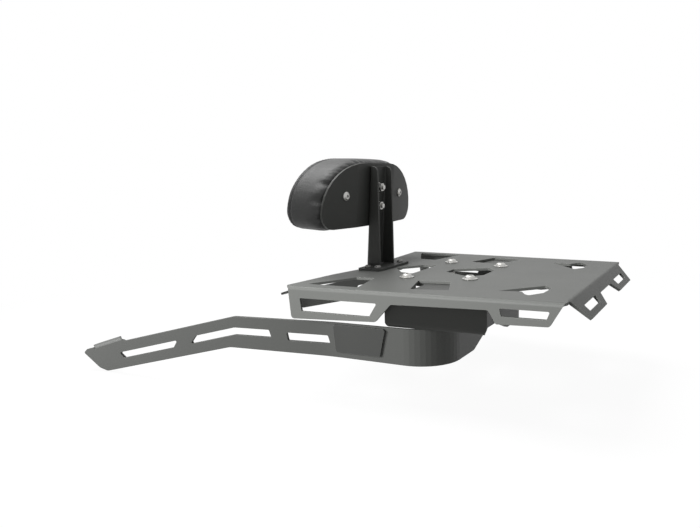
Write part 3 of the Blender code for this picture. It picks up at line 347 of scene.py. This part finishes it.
def makeZinc(name, shade=1.0):
    # bright zinc with a faint warm cloudiness and fine smears in its gloss
    s = zincSet
    mat, tree, shader = newFinish(name)
    edge = placeGroup(tree, edgeGroup, {"Width": s["edgeWidth"], "Unevenness": s["edgeUneven"]})
    coords = objectCoords(tree)
    cloud = noiseNode(tree, coords, s["cloudScale"], 3.0).outputs["Fac"]
    share = rangeNode(tree, cloud, 0.4, 0.7, 0.0, s["cloudShare"])
    plated = mixColours(tree, share, shaded(s["colour"], shade), shaded(s["warm"], shade))
    # painted highlight: the edge mask lightens the zinc along edges
    colour = mixColours(tree, edge.outputs["Mask"], plated, s["edge"])
    tree.links.new(colour, shader.inputs["Base Color"])
    shader.inputs["Metallic"].default_value = 1.0
    smear = noiseNode(tree, coords, s["smearScale"], 2.0).outputs["Fac"]
    rough = rangeNode(tree, smear, 0.3, 0.7, s["smoothest"], s["roughest"])
    tree.links.new(rough, shader.inputs["Roughness"])
    normal = bumpFrom(tree, smear, edge.outputs["Normal"], s["bump"], s["bumpDepth"])
    tree.links.new(normal, shader.inputs["Normal"])
    return mat


vinylSet = {
    "colour": (0.030, 0.031, 0.030, 1),
    "crease": (0.010, 0.010, 0.010, 1),
    "smoothest": 0.42,
    "roughest": 0.52,
    "creaseShare": 0.7,
    "sheen": 0.05,
    "grain": 1000.0,
    "bump": 0.35,
    "bumpDepth": 0.0003,
}


def makeVinyl(name):
    s = vinylSet
    mat, tree, shader = newFinish(name)
    grain = placeGroup(tree, pebbleGroup, {"Grain Scale": s["grain"], "Crease Share": s["creaseShare"]})
    # painted shade: the grain's creases get the darker colour
    colour = mixColours(tree, grain.outputs["Crease Shade"], s["colour"], s["crease"])
    tree.links.new(colour, shader.inputs["Base Color"])
    rough = rangeNode(tree, grain.outputs["Cloud"], 0.3, 0.7, s["smoothest"], s["roughest"])
    tree.links.new(rough, shader.inputs["Roughness"])
    normal = bumpFrom(tree, grain.outputs["Height"], None, s["bump"], s["bumpDepth"])
    tree.links.new(normal, shader.inputs["Normal"])
    shader.inputs["Sheen Weight"].default_value = s["sheen"]
    return mat


threadSet = {
    "dark": (0.015, 0.015, 0.015, 1),
    "light": (0.05, 0.05, 0.05, 1),
    "fibreScale": 2500.0,
    "roughness": 0.7,
    "bump": 0.4,
    "bumpDepth": 0.0002,
}


def makeThread(name):
    # sewing thread, mottled by its fibres
    s = threadSet
    mat, tree, shader = newFinish(name)
    fibres = noiseNode(tree, objectCoords(tree), s["fibreScale"], 1.0).outputs["Fac"]
    tree.links.new(mixColours(tree, fibres, s["dark"], s["light"]), shader.inputs["Base Color"])
    tree.links.new(bumpFrom(tree, fibres, None, s["bump"], s["bumpDepth"]), shader.inputs["Normal"])
    shader.inputs["Roughness"].default_value = s["roughness"]
    return mat


coat = makePowder("powderCoat")
# badge and arm copies of the coat are darkened as painted shade
badgeShadedCoat = makePowder("badgeShadedCoat", powderSet["badgeSmoother"], powderSet["badgePaintedShade"])
armShadedCoat = makePowder("armShadedCoat", powderSet["armSmoother"], powderSet["armPaintedShade"])
zinc = makeZinc("zincPlate")
darkZinc = makeZinc("darkZincPlate", zincSet["footShade"])
vinyl = makeVinyl("padVinyl")
thread = makeThread("padThread")
slotFinish = {"powder_coated_steel": coat, "zinc_plated_steel": zinc, "pad_vinyl": vinyl}
for part in frame["record"]["subparts"]:
    obj = nodes[part["node"]]
    finish = slotFinish[part["material_slot"]]
    if part["node"].endswith("_arm"):
        finish = armShadedCoat
    if "badge" in part["node"]:
        finish = badgeShadedCoat
    if "foot_" in part["node"]:
        finish = darkZinc
    obj.data.materials.clear()
    obj.data.materials.append(finish)
print("finishes done")


# the leaning frame of the backrest: X across, Y up the post, Z forward, origin at the post's base

restSet = {
    "postFoot": Vector((0, 0.0865, 0.0036)),
    "postTop": Vector((0, 0.0765, 0.136)),
    "backFace": 0.0036,
    "sharpFrom": math.radians(38),
}


def leanFrame():
    run = restSet["postTop"] - restSet["postFoot"]
    lean = math.atan2(-run.y, run.z)
    stand = Matrix(((-1, 0, 0, 0), (0, 0, 1, 0), (0, 1, 0, 0), (0, 0, 0, 1)))
    return Matrix.Translation(restSet["postFoot"]) @ Matrix.Rotation(lean, 4, "X") @ stand


def upPost(height):
    run = restSet["postTop"] - restSet["postFoot"]
    return (height - restSet["postFoot"].z) / run.z * run.length


def skinRings(bm, rings):
    for low, high in zip(rings, rings[1:]):
        for m in range(len(low)):
            n = (m + 1) % len(low)
            bm.faces.new((low[m], low[n], high[n], high[m]))


def closeRings(bm, rings):
    # skin from ring to ring, with a face over each end
    skinRings(bm, rings)
    bm.faces.new(list(reversed(rings[0])))
    bm.faces.new(rings[-1])


def newPiece(name, bm, finish):
    bmesh.ops.recalc_face_normals(bm, faces=bm.faces)
    if bm.calc_volume(signed=True) < 0:
        bmesh.ops.reverse_faces(bm, faces=bm.faces)
    mesh = bpy.data.meshes.new(name)
    bm.to_mesh(mesh)
    bm.free()
    mesh.materials.append(finish)
    mesh.shade_smooth()
    mesh.set_sharp_from_angle(angle=restSet["sharpFrom"])
    piece = bpy.data.objects.new(name, mesh)
    scene.collection.objects.link(piece)
    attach(piece, "root")


# backrest pad: foam block in a vinyl cover, blown up by cloth, then seam, puckers and stitches

padSet = {
    "half": 0.1150,
    "bottom": 0.0550,
    "top": 0.1445,
    "widest": 0.078,
    "bottomFlat": 0.091,
    "topFlat": 0.030,
    "wingFrom": 0.046,
    "wingSlope": math.tan(math.radians(7)),
    "backRound": ((0.007, 0.0), (0.0035, 0.0016), (0.001, 0.006), (0.0, 0.011)),
    "backGap": 0.0004,
    "depth": 0.0532,
    "frontRound": 0.007,
    "frontSteps": 4,
    "crown": 0.0085,
    "bow": 0.2,
    "seam": 0.0455,
    "seamDepth": 0.0016,
    "seamWidth": 0.0013,
    "voxel": 0.004,
    # how far the held parts reach from the back and from the seam, in voxels
    "holdBack": 0.8,
    "holdSeam": 0.55,
    "pressure": 4.0,
    "stretch": 25,
    "bending": 2,
    "frames": 20,
    "cap": 0.005,
    "pucker": 0.0016,
    "puckerReach": 0.021,
    "puckerFade": 1.5,
    "puckers": 44,
    "puckerSize": (0.3, 0.9),
    "puckerWidth": (0.016, 0.035),
    "foldAngles": (9, 357, 345, 171, 183, 195),
    "foldSize": 3.3,
    "foldWidth": 0.045,
    # across, height, radius, depth: two bolt heads and two screws
    "pockets": (
        (0, 0.084, 0.0071, 0.0044),
        (0, 0.1085, 0.0071, 0.0044),
        (0.070, 0.0985, 0.0034, 0.0132),
        (-0.070, 0.0985, 0.0034, 0.0132),
    ),
}


def padOutline(inset, steps=16):
    s = padSet
    half, bottom, top = s["half"] - inset, upPost(s["bottom"]) + inset, upPost(s["top"]) - inset
    widest = upPost(s["widest"])
    low, high = s["bottomFlat"] - inset * 2, s["topFlat"]
    right = []
    for k in range(steps // 2 + 1):
        a = math.pi / 2 * k / (steps // 2)
        right.append((low + (half - low) * math.sin(a), widest - (widest - bottom) * math.cos(a)))
    for k in range(1, steps + 1):
        a = math.pi / 2 * k / steps
        right.append((high + (half - high) * math.cos(a), widest + (top - widest) * math.sin(a)))
    return right + [(-x, y) for x, y in reversed(right)]


def wingShift(x):
    return max(abs(x) - padSet["wingFrom"], 0.0) * padSet["wingSlope"]


def padBlock():
    # rings from back to front: inset, distance forward and share of the crown
    s = padSet
    levels = [(inset, forward, 0.0) for inset, forward in s["backRound"]]
    levels.append((0.0, s["seam"], s["bow"]))
    for k in range(1, s["frontSteps"] + 1):
        a = math.pi / 2 * k / s["frontSteps"]
        inset = s["frontRound"] * (1 - math.cos(a))
        forward = s["seam"] + (s["depth"] - s["seam"]) * math.sin(a)
        levels.append((inset, forward, s["bow"] + s["bow"] * k))
    bm = bmesh.new()
    rings = []
    for inset, forward, bow in levels:
        ring = []
        for x, y in padOutline(inset):
            crown = s["crown"] * (1 - (x / s["half"]) ** 2) * bow
            z = restSet["backFace"] + s["backGap"] + wingShift(x) + forward + crown
            ring.append(bm.verts.new((x, y, z)))
        rings.append(ring)
    skinRings(bm, rings)
    for cap in (rings[0], rings[-1]):
        count = len(cap)
        for i in range(count // 2 - 1):
            bm.faces.new((cap[i], cap[i + 1], cap[count - 2 - i], cap[count - 1 - i]))
    bmesh.ops.triangulate(bm, faces=bm.faces[:])
    return bm


def applied(obj):
    graph = bpy.context.evaluated_depsgraph_get()
    graph.update()
    mesh = bpy.data.meshes.new_from_object(obj.evaluated_get(graph), depsgraph=graph)
    obj.modifiers.clear()
    obj.data = mesh
    return mesh


def inflate(pad):
    # the back and the ring under the seam are held while the rest swells
    s = padSet
    start = [v.co.copy() for v in pad.data.vertices]
    held = pad.vertex_groups.new(name="held")
    for v in pad.data.vertices:
        depth = v.co.z - restSet["backFace"] - wingShift(v.co.x)
        side = abs(depth - s["seam"]) < s["voxel"] * s["holdSeam"] and abs(v.normal.z) < 0.6
        if depth < s["voxel"] * s["holdBack"] or side:
            held.add([v.index], 1.0, "REPLACE")
    cloth = pad.modifiers.new("swell", "CLOTH")
    cloth.settings.vertex_group_mass = "held"
    cloth.settings.use_pressure = True
    cloth.settings.uniform_pressure_force = s["pressure"]
    cloth.settings.effector_weights.gravity = 0.0
    cloth.settings.tension_stiffness = s["stretch"]
    cloth.settings.compression_stiffness = s["stretch"]
    cloth.settings.bending_stiffness = s["bending"]
    cloth.point_cache.frame_start = 1
    cloth.point_cache.frame_end = s["frames"]
    for step in range(1, s["frames"] + 1):
        scene.frame_set(step)
    mesh = applied(pad)
    scene.frame_set(1)
    for v, old in zip(mesh.vertices, start):
        move = v.co - old
        if move.length > s["cap"]:
            v.co = old + move.normalized() * s["cap"]


def padMiddle():
    return (upPost(padSet["bottom"]) + upPost(padSet["top"])) / 2


def seamAndPuckers(mesh):
    # a groove along the seam, small puckers all round the back plate and larger folds at both ends
    s = padSet
    random.seed(7)
    count, folds = s["puckers"], len(s["foldAngles"])
    places = [random.uniform(0, math.tau) for k in range(count)]
    places += [math.radians(a) for a in s["foldAngles"]]
    sizes = [random.uniform(*s["puckerSize"]) for k in range(count)] + [s["foldSize"]] * folds
    widths = [random.uniform(*s["puckerWidth"]) for k in range(count)] + [s["foldWidth"]] * folds
    moves = []
    for v in mesh.vertices:
        depth = v.co.z - restSet["backFace"] - wingShift(v.co.x)
        outward = Vector((v.normal.x, v.normal.y, 0))
        if outward.length < 0.35:
            continue
        outward.normalize()
        spot = (depth - s["seam"]) / s["seamWidth"]
        inward = s["seamDepth"] * math.exp(-spot * spot)
        if depth < s["puckerReach"]:
            angle = math.atan2(v.co.y - padMiddle(), v.co.x) % math.tau
            fade = (1 - depth / s["puckerReach"]) ** s["puckerFade"]
            for at, size, width in zip(places, sizes, widths):
                away = abs((angle - at + math.pi) % math.tau - math.pi) / width
                if away < 3:
                    inward += s["pucker"] * size * fade * math.exp(-away * away)
        moves.append((v.index, outward * -inward))
    for index, move in moves:
        mesh.vertices[index].co += move


def fastenerPockets(pad):
    # room in the board for the bolt heads and screws that the pad covers
    cutters = []
    for x, height, radius, depth in padSet["pockets"]:
        bm = bmesh.new()
        bmesh.ops.create_cone(bm, cap_ends=True, segments=24, radius1=radius, radius2=radius, depth=depth * 2)
        spot = Matrix.Translation((x, upPost(height), restSet["backFace"] + wingShift(x)))
        if x:
            lean = math.copysign(math.atan(padSet["wingSlope"]), x)
            spot = spot @ Matrix.Rotation(-lean, 4, "Y")
        mesh = bpy.data.meshes.new("padPocket")
        bmesh.ops.transform(bm, matrix=spot, verts=bm.verts)
        bm.to_mesh(mesh)
        bm.free()
        cutter = bpy.data.objects.new("padPocket", mesh)
        scene.collection.objects.link(cutter)
        cut = pad.modifiers.new("pocket", "BOOLEAN")
        cut.operation = "DIFFERENCE"
        cut.object = cutter
        cutters.append(cutter)
    applied(pad)
    for cutter in cutters:
        bpy.data.objects.remove(cutter, do_unlink=True)


stitchSet = {
    "length": 0.0034,
    "gap": 0.0012,
    "beyondSeam": 0.0026,
    "outside": 0.012,
    "lineSteps": 48,
    "rayStep": 0.002,
    "towards": 0.6,
    "radius": 0.00028,
    "lift": 0.00022,
    "sink": 0.00005,
    "rings": 7,
    "sides": 6,
}


def stitchRoute(pad):
    # points and normals on the cover, found by rays sent inwards from a line outside it
    s = stitchSet
    tree = BVHTree.FromPolygons([v.co for v in pad.data.vertices], [p.vertices[:] for p in pad.data.polygons])
    line = padOutline(-s["outside"], s["lineSteps"])
    route = []
    for (x0, y0), (x1, y1) in zip(line, line[1:] + line[:1]):
        steps = max(1, math.ceil(math.hypot(x1 - x0, y1 - y0) / s["rayStep"]))
        for k in range(steps):
            x, y = x0 + (x1 - x0) * k / steps, y0 + (y1 - y0) * k / steps
            level = padSet["seam"] + s["beyondSeam"]
            start = Vector((x, y, restSet["backFace"] + wingShift(x) + level))
            aim = Vector((x * s["towards"], padMiddle(), start.z)) - start
            hit, normal = tree.ray_cast(start, aim.normalized())[:2]
            if hit is not None:
                route.append((hit, normal))
    return route


def addStitch(bm, point, normal, along):
    # one raised stitch: full in the middle, tapered into the cover at both ends
    s = stitchSet
    side = along.cross(normal).normalized()
    rings = []
    for k in range(s["rings"]):
        t = k / (s["rings"] - 1)
        size = s["radius"] * math.sqrt(max(1 - (2 * t - 1) ** 4, 0.04))
        lift = s["lift"] * math.sin(math.pi * t) - s["sink"]
        centre = point + along * (s["length"] * t) + normal * lift
        ring = []
        for m in range(s["sides"]):
            turn = math.tau * m / s["sides"]
            spoke = side * (size * math.cos(turn)) + normal * (size * math.sin(turn))
            ring.append(bm.verts.new(centre + spoke))
        rings.append(ring)
    closeRings(bm, rings)


def makeStitches(pad, place):
    # a row of stitches just in front of the seam
    route = stitchRoute(pad)
    bm = bmesh.new()
    begin = None
    for (point, normal), (ahead, _) in zip(route, route[1:] + route[:1]):
        if begin is None:
            begin = (point, normal)
            reach = 0.0
        reach += (ahead - point).length
        if reach >= stitchSet["length"] + stitchSet["gap"]:
            addStitch(bm, begin[0], begin[1], (ahead - begin[0]).normalized())
            begin = None
    bmesh.ops.transform(bm, matrix=place, verts=bm.verts)
    newPiece("padStitches", bm, thread)


def makePad():
    place = leanFrame()
    bm = padBlock()
    bmesh.ops.recalc_face_normals(bm, faces=bm.faces)
    mesh = bpy.data.meshes.new("padCover")
    bm.to_mesh(mesh)
    bm.free()
    pad = bpy.data.objects.new("padCover", mesh)
    scene.collection.objects.link(pad)
    skin = pad.modifiers.new("skin", "REMESH")
    skin.mode = "VOXEL"
    skin.voxel_size = padSet["voxel"]
    applied(pad)
    inflate(pad)
    smooth = pad.modifiers.new("smooth", "SUBSURF")
    smooth.levels = smooth.render_levels = 2
    applied(pad)
    seamAndPuckers(pad.data)
    fastenerPockets(pad)
    pad.data.materials.clear()
    pad.data.materials.append(vinyl)
    makeStitches(pad, place)
    pad.data.transform(place)
    pad.data.update()
    pad.data.shade_smooth()
    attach(pad, "root")
    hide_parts("backrest_pad")


makePad()
print("pad done")


# weld beads down both sides of the post, where it stands on its foot plate

weldSet = {
    "side": 0.0206,
    "rear": 0.0655,
    "front": 0.0835,
    "height": 0.0033,
    "size": 0.0021,
    "ripple": 0.0011,
    "ripplePoints": 3,
    "rippleLow": 0.88,
    "rippleHeight": 0.14,
    "uneven": 0.04,
    "arcSteps": 8,
}


def makeBead(side):
    w = weldSet
    random.seed(11 + side)
    bm = bmesh.new()
    rings = []
    count = math.ceil((w["front"] - w["rear"]) / w["ripple"]) * w["ripplePoints"]
    for k in range(count + 1):
        y = w["rear"] + (w["front"] - w["rear"]) * k / count
        fade = math.sqrt(max(math.sin(math.pi * (k + 0.35) / (count + 0.7)), 0.05))
        wave = w["rippleLow"] + w["rippleHeight"] * abs(math.sin(math.pi * k / w["ripplePoints"]))
        size = w["size"] * fade * (wave + random.uniform(-w["uneven"], w["uneven"]))
        ring = []
        for m in range(w["arcSteps"] + 1):
            a = math.pi / 2 * m / w["arcSteps"]
            x = side * (w["side"] + size * math.cos(a))
            ring.append(bm.verts.new((x, y, w["height"] + size * math.sin(a))))
        ring.append(bm.verts.new((side * w["side"], y, w["height"])))
        rings.append(ring)
    closeRings(bm, rings)
    name = "leftPostWeld" if side < 0 else "rightPostWeld"
    newPiece(name, bm, coat)


makeBead(-1)
makeBead(1)
print("welds done")


# floor and studio light

studioSet = {
    "floor": -0.1292,
    "floorHalf": 4.0,
    "floorColour": (0.6, 0.6, 0.59, 1),
    # how bright the floor shows and how much shadow it keeps, near the part and far from it
    "nearReach": 0.35,
    "farReach": 1.0,
    "nearGlow": 0.95,
    "nearShade": 0.10,
    "ambient": 0.1,
    # turn and rise of each lamp in degrees, its reach, size and power, and the pieces it is for
    "lamps": [
        {"name": "overhead", "turn": 95, "rise": 68, "reach": 1.4, "size": 0.8, "power": 18},
        {"name": "plateBox", "turn": 172, "rise": 21, "reach": 1.4, "size": 0.5, "power": 38,
         "onto": "plate"},
        {"name": "armBox", "turn": 138, "rise": 14, "reach": 3.2, "size": 1.5, "power": 165,
         "onto": "arms"},
        {"name": "rearStrip", "turn": 226, "rise": 5, "reach": 1.4, "size": 0.18, "power": 1.3,
         "onto": "arms"},
    ],
    "flagged": {
        "plate": ["rack_plate"],
        "arms": ["left_arm", "left_badge_plate"],
    },
}


def litRays(tree):
    # camera, glossy and transmission rays
    path = tree.nodes.new("ShaderNodeLightPath")
    both = mathNode(tree, "MAXIMUM", path.outputs["Is Camera Ray"], path.outputs["Is Glossy Ray"])
    return mathNode(tree, "MAXIMUM", both, path.outputs["Is Transmission Ray"])


def makeFloor():
    s = studioSet
    bm = bmesh.new()
    bmesh.ops.create_grid(bm, x_segments=1, y_segments=1, size=s["floorHalf"])
    mesh = bpy.data.meshes.new("floor")
    bm.to_mesh(mesh)
    bm.free()
    floor = bpy.data.objects.new("floor", mesh)
    floor.location = (0, 0, s["floor"])
    scene.collection.objects.link(floor)
    mat = bpy.data.materials.new("floorWhite")
    mat.use_nodes = True
    tree = mat.node_tree
    tree.nodes.clear()
    out = tree.nodes.new("ShaderNodeOutputMaterial")
    paint = tree.nodes.new("ShaderNodeBsdfDiffuse")
    paint.inputs["Color"].default_value = s["floorColour"]
    seen = tree.nodes.new("ShaderNodeEmission")
    faint = tree.nodes.new("ShaderNodeBsdfDiffuse")
    both = tree.nodes.new("ShaderNodeAddShader")
    coords = objectCoords(tree)
    reach = tree.nodes.new("ShaderNodeVectorMath")
    reach.operation = "LENGTH"
    tree.links.new(coords, reach.inputs[0])
    near, far = s["nearReach"], s["farReach"]
    glow = rangeNode(tree, reach.outputs["Value"], near, far, s["nearGlow"], 1.0)
    tree.links.new(glow, seen.inputs["Strength"])
    dim = rangeNode(tree, reach.outputs["Value"], near, far, s["nearShade"], 0.0)
    grey = tree.nodes.new("ShaderNodeCombineColor")
    for channel in grey.inputs:
        tree.links.new(dim, channel)
    tree.links.new(grey.outputs["Color"], faint.inputs["Color"])
    tree.links.new(seen.outputs[0], both.inputs[0])
    tree.links.new(faint.outputs[0], both.inputs[1])
    mix = tree.nodes.new("ShaderNodeMixShader")
    tree.links.new(litRays(tree), mix.inputs["Fac"])
    tree.links.new(paint.outputs[0], mix.inputs[1])
    tree.links.new(both.outputs[0], mix.inputs[2])
    tree.links.new(mix.outputs[0], out.inputs["Surface"])
    floor.data.materials.append(mat)


def makeWorld():
    world = bpy.data.worlds.new("studio")
    scene.world = world
    world.use_nodes = True
    tree = world.node_tree
    back = tree.nodes["Background"]
    back.inputs["Color"].default_value = (1, 1, 1, 1)
    strength = rangeNode(tree, litRays(tree), 0.0, 1.0, studioSet["ambient"], 1.0)
    tree.links.new(strength, back.inputs["Strength"])


def makeLamps():
    # each side box is flagged off everything but the pieces it is for
    flagged = {}
    for label, names in studioSet["flagged"].items():
        flagged[label] = bpy.data.collections.new(label)
        for name in names:
            flagged[label].objects.link(nodes[name])
    for lamp in studioSet["lamps"]:
        a, e = math.radians(lamp["turn"]), math.radians(lamp["rise"])
        way = Vector((math.cos(a) * math.cos(e), math.sin(a) * math.cos(e), math.sin(e)))
        data = bpy.data.lights.new(lamp["name"], "AREA")
        data.size = lamp["size"]
        data.energy = lamp["power"]
        light = bpy.data.objects.new(lamp["name"], data)
        light.location = way * lamp["reach"]
        light.rotation_euler = way.to_track_quat("Z", "Y").to_euler()
        scene.collection.objects.link(light)
        if "onto" in lamp:
            light.light_linking.receiver_collection = flagged[lamp["onto"]]


makeFloor()
makeWorld()
makeLamps()
print("studio done")
